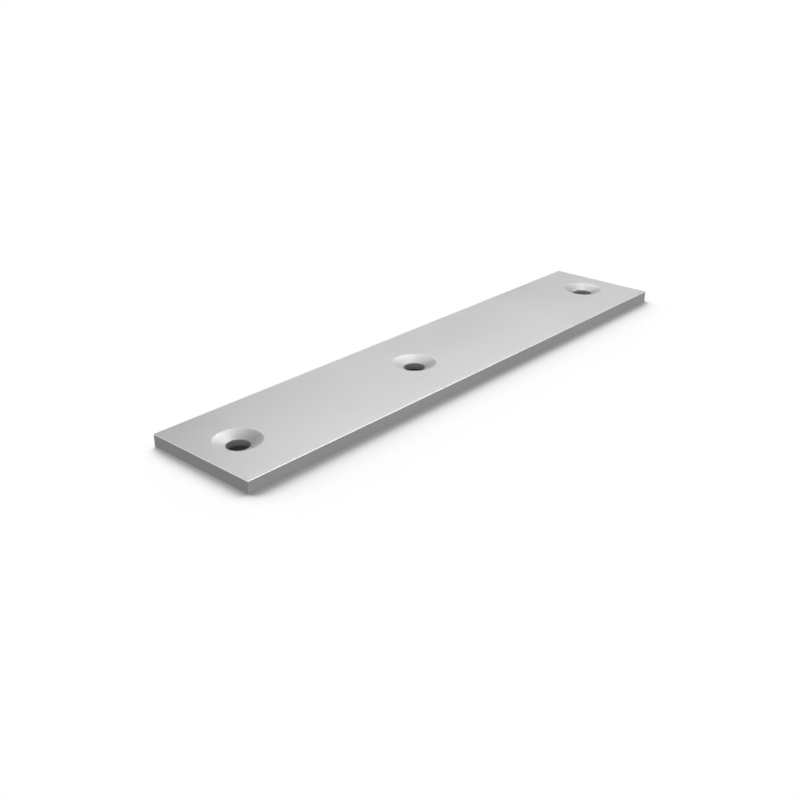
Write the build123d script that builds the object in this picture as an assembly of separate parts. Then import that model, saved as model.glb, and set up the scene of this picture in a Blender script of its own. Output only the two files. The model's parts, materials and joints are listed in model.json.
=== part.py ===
from build123d import *
import math
import os

# Extrusion joining plate: a flat bar with three countersunk screw holes in one line.
# Millimetres and degrees. The origin is the centre of the underside, +X runs along the
# bar, +Y across it and +Z up, so the screws go in from above.

# The bar
plate_length = 150.0
plate_width = 30.0
plate_thickness = 3.0
edge_break = 0.2  # flat left along every outer edge when the cut bar is deburred

# The screw holes, all on the centre line of the bar
end_margin = 10.0  # from each end of the bar to the hole nearest it
middle_hole_distance = 65.0  # from the -X end of the bar to the middle hole
bore_diameter = 5.2
countersink_diameter = 10.5
countersink_angle = 128.0  # included angle of the cone
bore_break = 0.15  # small chamfer where each bore leaves the underside

# Places along the bar that follow from the sizes above
first_hole_x = end_margin - plate_length / 2
middle_hole_x = middle_hole_distance - plate_length / 2
last_hole_x = plate_length / 2 - end_margin
hole_places = [first_hole_x, middle_hole_x, last_hole_x]


def cone_depth():
    """Depth at which the countersink has narrowed to the bore."""
    radial_step = (countersink_diameter - bore_diameter) / 2
    return radial_step / math.tan(math.radians(countersink_angle / 2))


def flat_bar():
    """The cut and deburred bar, before drilling."""
    outline = Rectangle(plate_length, plate_width)
    bar = extrude(outline, plate_thickness)
    return chamfer(bar.edges(), edge_break)


def screw_hole():
    """What the drill and the countersink take away at one hole."""
    bore_radius = bore_diameter / 2
    countersink_radius = countersink_diameter / 2
    cone_bottom = plate_thickness - cone_depth()
    section = Polyline(
        (0, 0),
        (bore_radius + bore_break, 0),
        (bore_radius, bore_break),
        (bore_radius, cone_bottom),
        (countersink_radius, plate_thickness),
        (0, plate_thickness),
        close=True,
    )
    return revolve(Plane.XZ * make_face(section), Axis.Z)


def joining_plate():
    """The bar drilled and countersunk at its three holes."""
    plate = flat_bar()
    for place in hole_places:
        plate -= Pos(place, 0, 0) * screw_hole()
    return plate


os.makedirs("parts", exist_ok=True)
export_step(joining_plate(), "parts/joining_plate.step")
print("cone depth", round(cone_depth(), 3), "mm")
print("bore wall", round(plate_thickness - cone_depth() - bore_break, 3), "mm")
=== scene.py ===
import bmesh
import bpy
import json
from math import hypot, pi, radians, tan
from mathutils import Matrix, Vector


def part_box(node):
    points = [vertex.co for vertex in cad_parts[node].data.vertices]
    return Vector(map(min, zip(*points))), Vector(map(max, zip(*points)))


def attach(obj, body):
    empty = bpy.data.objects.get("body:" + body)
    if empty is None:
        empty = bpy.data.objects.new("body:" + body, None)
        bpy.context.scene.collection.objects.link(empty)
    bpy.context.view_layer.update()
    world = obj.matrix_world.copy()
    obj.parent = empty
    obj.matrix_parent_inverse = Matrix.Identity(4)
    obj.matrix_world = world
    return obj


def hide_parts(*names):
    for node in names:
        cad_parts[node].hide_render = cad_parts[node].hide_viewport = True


# Joining plate for framing extrusions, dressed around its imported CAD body.
# Metres throughout, in the CAD's own frame: +X along the bar, +Z out of the countersinks.

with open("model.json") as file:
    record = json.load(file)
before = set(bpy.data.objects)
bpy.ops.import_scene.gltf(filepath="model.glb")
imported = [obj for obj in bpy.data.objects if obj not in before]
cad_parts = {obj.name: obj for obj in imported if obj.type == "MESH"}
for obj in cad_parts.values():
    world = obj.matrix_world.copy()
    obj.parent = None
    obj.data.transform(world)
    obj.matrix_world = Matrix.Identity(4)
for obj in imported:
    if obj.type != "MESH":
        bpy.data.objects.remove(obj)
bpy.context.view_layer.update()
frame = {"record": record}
barLow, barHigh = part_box("joining_plate")
holes = [mount for mount in frame["record"]["mounts"] if mount["kind"] == "bore"]
hair = 1e-6  # closer than this is the same place
square = 0.9999  # a face whose normal has this much of one axis is square to it
print("frame loaded with", len(holes), "screw holes")

plateShape = {
    "cornerRound": 0.00012,   # outer edges, barely broken
    "cornerSteps": 4,
    "lowEdgeHighlight": 0.15,      # how much of the painted edge highlight the upright and lower edges get, next to the upper ones
    "crestTilt": 0.01,        # an edge that faces up by more than this is an upper one
    "sinkRadius": 0.00525,    # mouth of each countersink
    "sinkAngle": 128.0,       # included, in degrees
    "boreChamfer": 0.00015,   # where each bore leaves the underside
    "land": 0.0004,           # flat ring kept around each mouth, so that it shades cleanly
    "rimRound": 0.00006,      # mouths
    "innerRound": 0.00004,    # necks and chamfers
    "ringSteps": 2,
    "around": 144,            # facets around each hole
    "broadWeight": 100,       # the broad faces shade flat right up to the small roundings
}


def addBar(bm):
    # a box with its edges rounded, and its two broad faces taken off again
    made = bmesh.ops.create_cube(bm, size=1)
    bmesh.ops.scale(bm, vec=barHigh - barLow, verts=made["verts"])
    bmesh.ops.translate(bm, vec=(barLow + barHigh) / 2, verts=made["verts"])
    bmesh.ops.bevel(bm, geom=bm.edges[:], offset=plateShape["cornerRound"],
                    segments=plateShape["cornerSteps"], profile=0.5, affect="EDGES", material=-1)
    broad = sorted(bm.faces, key=lambda face: face.calc_area())[-2:]
    bmesh.ops.delete(bm, geom=broad, context="FACES_ONLY")


def roundRing(bm, x, y, radius, height, size):
    # rounds the edge that runs around a hole at this radius and height
    def onRing(vert):
        away = hypot(vert.co.x - x, vert.co.y - y)
        return abs(away - radius) < hair and abs(vert.co.z - height) < hair
    ring = [edge for edge in bm.edges if all(onRing(vert) for vert in edge.verts)]
    bmesh.ops.bevel(bm, geom=ring, offset=size, segments=plateShape["ringSteps"],
                    profile=0.5, affect="EDGES", material=-1)


def neckHeight(bore):
    # where the cone has narrowed to the bore
    return barHigh.z - (plateShape["sinkRadius"] - bore) / tan(radians(plateShape["sinkAngle"] / 2))


def addHole(bm, mount):
    # the wall of one hole, spun from its section: mouth, cone, bore, exit chamfer
    x, y = mount["pos_m"][:2]
    bore = mount["dims"]["r_mm"] / 1000
    mouth, land, chamfer = plateShape["sinkRadius"], plateShape["land"], plateShape["boreChamfer"]
    neck = neckHeight(bore)
    section = [
        (mouth + land, barHigh.z),
        (mouth, barHigh.z),
        (bore, neck),
        (bore, barLow.z + chamfer),
        (bore + chamfer, barLow.z),
        (bore + chamfer + land, barLow.z),
    ]
    points = [bm.verts.new((x + radius, y, height)) for radius, height in section]
    wall = [bm.edges.new(pair) for pair in zip(points, points[1:])]
    bmesh.ops.spin(bm, geom=points + wall, cent=(x, y, 0), axis=(0, 0, 1), angle=2 * pi,
                   steps=plateShape["around"], use_merge=True)
    roundRing(bm, x, y, mouth, barHigh.z, plateShape["rimRound"])
    for radius, height in section[2:5]:  # the neck, and both edges of the exit chamfer
        roundRing(bm, x, y, radius, height, plateShape["innerRound"])


def fillBroadFace(bm, height, outwards):
    # closes the bar between its outline and the mouths of the holes
    rims = [edge for edge in bm.edges if edge.is_boundary
            and all(abs(vert.co.z - height) < hair for vert in edge.verts)]
    bmesh.ops.triangle_fill(bm, edges=rims, use_beauty=True, use_dissolve=False, normal=outwards)


def nearestAxis(point):
    # how far a point lies from the nearest hole's axis
    return min(hypot(point.x - mount["pos_m"][0], point.y - mount["pos_m"][1]) for mount in holes)


def markFinish(bm):
    # how each face was made, and the painted light it takes: red the painted highlight on the eased
    # edges, the upper ones most, green sawn ends with the upright and lower edges, in painted shade,
    # blue cut by the drill and countersink, and no alpha on the long sides, also in painted shade
    finishAndLight = bm.loops.layers.float_color.new("finishAndLight")
    toolPath = bm.verts.layers.float.new("toolPath")
    reach = plateShape["sinkRadius"] + plateShape["rimRound"] * 2  # clear of the rounding at the mouth
    for vert in bm.verts:
        vert[toolPath] = nearestAxis(vert.co) - vert.co.z  # changes down a cone and down a bore
    for face in bm.faces:
        across = max(abs(part) for part in face.normal)
        inHole = nearestAxis(face.calc_center_median()) < reach
        eased = across < square and not inHole
        # painted highlight on the eased edges: full on the upper ones, a little on the upright and lower
        # ones, which also take the sawn ends' painted shade
        crest = eased and face.normal.z > plateShape["crestTilt"]
        paintedHighlight = eased * (1 if crest else plateShape["lowEdgeHighlight"])
        sawn = abs(face.normal.x) > square or (eased and not crest)
        machined = inHole and abs(face.normal.z) < square
        longSide = abs(face.normal.y) > square
        for loop in face.loops:
            loop[finishAndLight] = (paintedHighlight, float(sawn), float(machined), float(not longSide))


def makePlate():
    bm = bmesh.new()
    addBar(bm)
    for mount in holes:
        addHole(bm, mount)
    bmesh.ops.remove_doubles(bm, verts=bm.verts[:], dist=hair)
    fillBroadFace(bm, barHigh.z, (0, 0, 1))
    fillBroadFace(bm, barLow.z, (0, 0, -1))
    bmesh.ops.recalc_face_normals(bm, faces=bm.faces[:])
    markFinish(bm)
    for face in bm.faces:
        face.smooth = True
    mesh = bpy.data.meshes.new("joiningPlateMesh")
    bm.to_mesh(mesh)
    bm.free()
    plate = bpy.data.objects.new("joiningPlateBody", mesh)
    bpy.context.scene.collection.objects.link(plate)
    flat = plate.modifiers.new("flatFaces", "WEIGHTED_NORMAL")
    flat.weight = plateShape["broadWeight"]
    print("plate made,", len(mesh.polygons), "faces")
    return plate


satinMetal = {
    "colour": (0.64, 0.64, 0.64, 1),
    "darkerColour": (0.58, 0.58, 0.58, 1),     # the low end of the drift over the broad faces
    "wornAndHighlightColour": (0.86, 0.86, 0.86, 1),       # painted highlight along the eased edges, partly their bare metal, and bare metal where handling wears the broad faces
    "longSideShadedColour": (0.4, 0.4, 0.4, 1),      # left as drawn; darker than the broad faces as painted shade on an upright face
    # painted shade on the sawn ends and the upright and lower edges, darker still
    "sawnShadedColour": (0.31, 0.31, 0.31, 1),
    "cutColour": (0.67, 0.67, 0.67, 1),        # countersinks
    # painted shade down the bores
    "boreShadedColour": (0.46, 0.46, 0.46, 1),
    "roughness": 0.43,
    "edgeRoughness": 0.3,
    "longSideRoughness": 0.8,
    "sawnRoughness": 0.8,
    "cutRoughness": 0.45,
    "boreRoughness": 0.65,                  # drilled, not reamed
    "roughnessDrift": 0.05,                 # either way
    "driftRange": (0.3, 0.7),               # noise values that give the least and the most of that
    "marksInDrift": 0.35,                   # share of the tool marks in the drift
    "cloudSize": 0.024,                     # the rest of it is this slow cloud
    "drawnMarks": (0.07, 0.0005, 0.0005),   # length along the bar, then spacing across it
    "sawMarks": (0.01, 0.018, 0.00045),
    "sawTilt": 6.0,                         # degrees off level
    "ringSpacing": 0.00024,                 # feed marks left by the countersink
    "grainSize": 0.00014,                   # etched grain
    "grainInRelief": 0.6,                   # next to the tool marks
    "reliefDepth": 0.000022,                # of both
    "reliefStrength": 0.6,
    "wearReach": 0.0011,                    # how far in from the edges handling shows
    "wearMost": 0.25,
    "wearPatches": 260,                     # to a metre
    "wearRange": (0.45, 0.7),               # noise values for untouched and most worn
}


def newNode(tree, kind, inputs=None, **settings):
    node = tree.nodes.new("ShaderNode" + kind)
    for name, value in settings.items():
        setattr(node, name, value)
    for name, value in (inputs or {}).items():
        node.inputs[name].default_value = value
    return node


def calculate(tree, operation, first, second=0):
    # a Math node between two values, each a socket or a plain number
    node = newNode(tree, "Math", operation=operation)
    for place, value in enumerate((first, second)):
        if isinstance(value, bpy.types.NodeSocket):
            tree.links.new(value, node.inputs[place])
        else:
            node.inputs[place].default_value = value
    return node.outputs["Value"]


def rescale(tree, value, fromLow, fromHigh, toLow, toHigh, course="LINEAR"):
    # moves a value from one range to another, and holds it inside the second
    node = newNode(tree, "MapRange", {"From Min": fromLow, "From Max": fromHigh,
                                      "To Min": toLow, "To Max": toHigh}, interpolation_type=course)
    tree.links.new(value, node.inputs["Value"])
    return node.outputs["Result"]


def mixColours(tree, share, first, second):
    # the first colour where the share is 0, the second where it is 1
    node = newNode(tree, "Mix", data_type="RGBA")
    tree.links.new(share, node.inputs["Factor"])
    for name, value in (("A", first), ("B", second)):
        socket = next(s for s in node.inputs if s.name == name and s.type == "RGBA")
        if isinstance(value, bpy.types.NodeSocket):
            tree.links.new(value, socket)
        else:
            socket.default_value = value
    return next(s for s in node.outputs if s.type == "RGBA")


def mixValues(tree, share, first, second):
    # the same for single values
    gap = calculate(tree, "SUBTRACT", second, first)
    return calculate(tree, "ADD", calculate(tree, "MULTIPLY", gap, share), first)


def split(tree, places):
    # the X, Y and Z of a vector
    node = newNode(tree, "SeparateXYZ")
    tree.links.new(places, node.inputs["Vector"])
    return node.outputs


def evenNoise(tree, places, scale, detail):
    # noise of one size whichever way it is crossed
    noise = newNode(tree, "TexNoise", {"Scale": scale, "Detail": detail})
    tree.links.new(places, noise.inputs["Vector"])
    return noise.outputs["Fac"]


def toolMarks(tree, places, spacing, tilt=0.0):
    # noise drawn out by a different length along each axis
    stretch = newNode(tree, "Mapping", {"Rotation": (radians(tilt), 0, 0),
                                        "Scale": [1 / length for length in spacing]})
    tree.links.new(places, stretch.inputs["Vector"])
    noise = newNode(tree, "TexNoise", {"Scale": 1, "Detail": 3, "Roughness": 0.55})
    tree.links.new(stretch.outputs["Vector"], noise.inputs["Vector"])
    return noise.outputs["Fac"]


def turnedRings(tree):
    # fine rings that follow the cutter down each countersink and bore
    path = newNode(tree, "Attribute", attribute_name="toolPath")
    noise = newNode(tree, "TexNoise", {"Scale": 1 / satinMetal["ringSpacing"], "Detail": 2},
                    noise_dimensions="1D")
    tree.links.new(path.outputs["Fac"], noise.inputs["W"])
    return noise.outputs["Fac"]


def handledBand(tree, places):
    # strongest at the outline of the bar, gone a short way in, and broken up unevenly
    apart = split(tree, places)
    reach = satinMetal["wearReach"]
    bands = []
    for axis, half in (("X", barHigh.x), ("Y", barHigh.y)):
        out = calculate(tree, "ABSOLUTE", apart[axis])
        bands.append(rescale(tree, out, half - reach, half, 0, 1))
    band = calculate(tree, "MAXIMUM", *bands)
    patches = evenNoise(tree, places, satinMetal["wearPatches"], 4)
    patchy = rescale(tree, patches, *satinMetal["wearRange"], 0, satinMetal["wearMost"])
    return calculate(tree, "MULTIPLY", band, patchy)


def boreOnly(tree, places, cut):
    # the part of the cut faces that lies below the cones
    neck = neckHeight(holes[0]["dims"]["r_mm"] / 1000)
    fullBore = neck - plateShape["innerRound"] * 3  # clear of the rounding at the neck
    below = rescale(tree, split(tree, places)["Z"], neck, fullBore, 0, 1)
    return calculate(tree, "MULTIPLY", below, cut)


def satinAluminium():
    metal = satinMetal
    material = bpy.data.materials.new("satinAluminium")
    material.use_nodes = True
    tree = material.node_tree
    shader = tree.nodes["Principled BSDF"]
    shader.inputs["Metallic"].default_value = 1
    places = newNode(tree, "TexCoord").outputs["Object"]

    # red is the painted highlight on the eased edges; green and alpha mark faces that take painted shade
    # along with their own roughness
    finishAndLight = newNode(tree, "Attribute", attribute_name="finishAndLight")
    kinds = newNode(tree, "SeparateColor")
    tree.links.new(finishAndLight.outputs["Color"], kinds.inputs["Color"])
    eased, sawn, cut = kinds.outputs["Red"], kinds.outputs["Green"], kinds.outputs["Blue"]
    longSide = calculate(tree, "SUBTRACT", 1, finishAndLight.outputs["Alpha"])
    bore = boreOnly(tree, places, cut)

    # marks of the tools, one kind for each sort of face
    drawn = toolMarks(tree, places, metal["drawnMarks"])
    saw = toolMarks(tree, places, metal["sawMarks"], metal["sawTilt"])
    marks = mixValues(tree, cut, mixValues(tree, sawn, drawn, saw), turnedRings(tree))
    grain = evenNoise(tree, places, 1 / metal["grainSize"], 2)
    cloud = evenNoise(tree, places, 1 / metal["cloudSize"], 4)

    # colour
    drift = mixValues(tree, metal["marksInDrift"], cloud, marks)
    colour = mixColours(tree, drift, metal["darkerColour"], metal["colour"])
    # painted shade on the upright faces: the long sides, and darker still the sawn ends with the upright
    # and lower edges
    colour = mixColours(tree, longSide, colour, metal["longSideShadedColour"])
    colour = mixColours(tree, sawn, colour, metal["sawnShadedColour"])
    colour = mixColours(tree, cut, colour, metal["cutColour"])
    # painted shade down the bores
    colour = mixColours(tree, bore, colour, metal["boreShadedColour"])
    broad = calculate(tree, "SUBTRACT", 1, calculate(tree, "MAXIMUM", sawn, longSide))
    worn = calculate(tree, "MULTIPLY", handledBand(tree, places), broad)
    # painted highlight on the eased edges, strongest on the upper ones, and real bare metal where
    # handling has worn the broad faces near their outline
    colour = mixColours(tree, calculate(tree, "MAXIMUM", eased, worn), colour, metal["wornAndHighlightColour"])
    tree.links.new(colour, shader.inputs["Base Color"])

    # roughness
    rough = mixValues(tree, longSide, metal["roughness"], metal["longSideRoughness"])
    rough = mixValues(tree, sawn, rough, metal["sawnRoughness"])
    rough = mixValues(tree, cut, rough, metal["cutRoughness"])
    rough = mixValues(tree, bore, rough, metal["boreRoughness"])
    rough = mixValues(tree, calculate(tree, "MAXIMUM", eased, worn), rough, metal["edgeRoughness"])
    most = metal["roughnessDrift"]
    spread = rescale(tree, drift, *metal["driftRange"], -most, most)
    tree.links.new(calculate(tree, "ADD", rough, spread), shader.inputs["Roughness"])

    # relief
    relief = calculate(tree, "ADD", marks, calculate(tree, "MULTIPLY", grain, metal["grainInRelief"]))
    bump = newNode(tree, "Bump", {"Strength": metal["reliefStrength"], "Distance": metal["reliefDepth"]})
    tree.links.new(relief, bump.inputs["Height"])
    tree.links.new(bump.outputs["Normal"], shader.inputs["Normal"])
    print("satin aluminium made,", len(tree.nodes), "nodes")
    return material


studio = {
    "floorReach": 20.0,
    "floorColour": (0.8, 0.8, 0.8, 1),
    "shadeReach": 0.04,                 # how far the plate darkens the floor around it
    "shadeSamples": 16,
    "shadeLight": (0.18, 0.38, 0.91),   # where the light that it blocks mostly comes from
    "shadeOpen": (0.45, 0.93),          # openness to that light, in full shade and in the clear
    "shadeOpenReflected": (0.1, 0.55),  # the same, for what the plate's own sides reflect
    "shadeDarkest": 0.28,               # against the foot of the plate
    "underPlate": 0.08,                 # share of the shade left below the plate, seen down the bores
    "horizon": 1.0,                     # strength of the world in reflections, at eye level
    "overhead": 0.3,
    "skyTurn": (0.05, 0.35),            # heights on the sky between which it changes
}


def shadedWhite(tree, reflected):
    # white in the open, darker close to the plate and darkest below it
    close = newNode(tree, "AmbientOcclusion", {"Distance": studio["shadeReach"]},
                    samples=studio["shadeSamples"])
    light = newNode(tree, "CombineXYZ", dict(zip("XYZ", studio["shadeLight"])))
    tree.links.new(light.outputs["Vector"], close.inputs["Normal"])
    openness, darkest = close.outputs["AO"], studio["shadeDarkest"]
    seen = rescale(tree, openness, *studio["shadeOpen"], darkest, 1, "SMOOTHSTEP")
    mirrored = rescale(tree, openness, *studio["shadeOpenReflected"], darkest, 1, "SMOOTHSTEP")
    shade = mixValues(tree, reflected, seen, mirrored)
    apart = split(tree, newNode(tree, "TexCoord").outputs["Object"])
    inside = []
    for axis, half in (("X", barHigh.x), ("Y", barHigh.y)):
        out = calculate(tree, "ABSOLUTE", apart[axis])
        inside.append(calculate(tree, "LESS_THAN", out, half - plateShape["cornerRound"]))
    below = calculate(tree, "MULTIPLY", *inside)
    return calculate(tree, "MULTIPLY", shade, rescale(tree, below, 0, 1, 1, studio["underPlate"]))


def paleFloor():
    # a plain pale floor to the light it scatters, and white to the eye and in reflections
    material = bpy.data.materials.new("paleFloor")
    material.use_nodes = True
    tree = material.node_tree
    plain = tree.nodes["Principled BSDF"]
    plain.inputs["Base Color"].default_value = studio["floorColour"]
    plain.inputs["Roughness"].default_value = 1
    ray = newNode(tree, "LightPath")
    white = newNode(tree, "Emission")
    tree.links.new(shadedWhite(tree, ray.outputs["Is Glossy Ray"]), white.inputs["Strength"])
    seen = calculate(tree, "MAXIMUM", ray.outputs["Is Camera Ray"], ray.outputs["Is Glossy Ray"])
    seen = calculate(tree, "MAXIMUM", seen, ray.outputs["Is Transmission Ray"])
    either = newNode(tree, "MixShader")
    tree.links.new(seen, either.inputs["Fac"])
    tree.links.new(plain.outputs["BSDF"], either.inputs[1])
    tree.links.new(white.outputs["Emission"], either.inputs[2])
    tree.links.new(either.outputs["Shader"], tree.nodes["Material Output"].inputs["Surface"])
    return material


def makeFloor():
    bm = bmesh.new()
    # a single great triangle, so that no seam crosses the view
    bmesh.ops.create_circle(bm, cap_ends=True, segments=3, radius=studio["floorReach"])
    bmesh.ops.translate(bm, vec=(0, 0, barLow.z), verts=bm.verts[:])
    mesh = bpy.data.meshes.new("floorMesh")
    bm.to_mesh(mesh)
    bm.free()
    floor = bpy.data.objects.new("floor", mesh)
    bpy.context.scene.collection.objects.link(floor)
    floor.data.materials.append(paleFloor())


def makeWorld():
    # white to the eye, and in reflections white at eye level and greyer overhead
    world = bpy.data.worlds.new("studioWorld")
    world.use_nodes = True
    tree = world.node_tree
    backdrop = tree.nodes["Background"]
    backdrop.inputs["Color"].default_value = (1, 1, 1, 1)
    height = split(tree, newNode(tree, "TexCoord").outputs["Generated"])["Z"]
    sky = rescale(tree, height, *studio["skyTurn"], studio["horizon"], studio["overhead"])
    ray = newNode(tree, "LightPath")
    strength = mixValues(tree, ray.outputs["Is Camera Ray"], sky, 1)
    tree.links.new(strength, backdrop.inputs["Strength"])
    bpy.context.scene.world = world


softboxes = {
    # place, size and how bright its face is next to white
    "behind": ((0.48, 0.35, 0.535), 0.2, 3.15),
    "behindLeft": ((0.358, 0.427, 0.502), 0.24, 1.04),
    "behindRight": ((0.622, 0.226, 0.352), 0.24, 0.74),
    "closeBehind": ((0.03, 0.12, 0.16), 0.1, 0.64),
    "overFarEnd": ((0.08, 0.0, 0.26), 0.12, 1.8),
    "overNearEnd": ((-0.03, 0.06, 0.26), 0.12, 0.84),
    "pastFarEnd": ((0.24, 0.06, 0.26), 0.12, 1.4),
    "edgeLight": ((0.548, -0.329, 0.481), 0.3, 3.0),
    # fill for the other sides
    "frontLeft": ((-0.5, -0.42, 0.5), 0.4, 1.6),
    "left": ((-0.65, 0.1, 0.45), 0.4, 1.0),
    "front": ((0.05, -0.62, 0.45), 0.4, 1.2),
    "backLeft": ((-0.544, 0.544, 0.22), 0.3, 1.2),
}


def hangSoftbox(name, place, size, brightness):
    lamp = bpy.data.lights.new(name, "AREA")
    lamp.shape = "SQUARE"
    lamp.size = size
    lamp.energy = brightness * pi * size ** 2  # watts
    holder = bpy.data.objects.new(name, lamp)
    holder.location = place
    holder.rotation_euler = (-Vector(place)).to_track_quat("-Z", "Y").to_euler()
    bpy.context.scene.collection.objects.link(holder)


view = {
    "place": (-0.17842, -0.14589, 0.09586),
    "aim": (-0.02371, -0.0076, 0.0),
    "lens": 44.88,
    "sensor": 36.0,
    "nearest": 0.01,
    "farthest": 50.0,
}


def makeCamera():
    lens = bpy.data.cameras.new("camera")
    lens.lens = view["lens"]
    lens.sensor_width = view["sensor"]
    lens.clip_start = view["nearest"]
    lens.clip_end = view["farthest"]
    camera = bpy.data.objects.new("camera", lens)
    camera.location = view["place"]
    aim = Vector(view["aim"]) - Vector(view["place"])
    camera.rotation_euler = aim.to_track_quat("-Z", "Y").to_euler()
    bpy.context.scene.collection.objects.link(camera)
    bpy.context.scene.camera = camera


plate = makePlate()
plate.data.materials.append(satinAluminium())
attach(plate, "root")
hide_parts("joining_plate")

makeFloor()
makeWorld()
for name, box in softboxes.items():
    hangSoftbox(name, *box)
makeCamera()
print("studio made")

bpy.context.scene.view_settings.view_transform = "Standard"
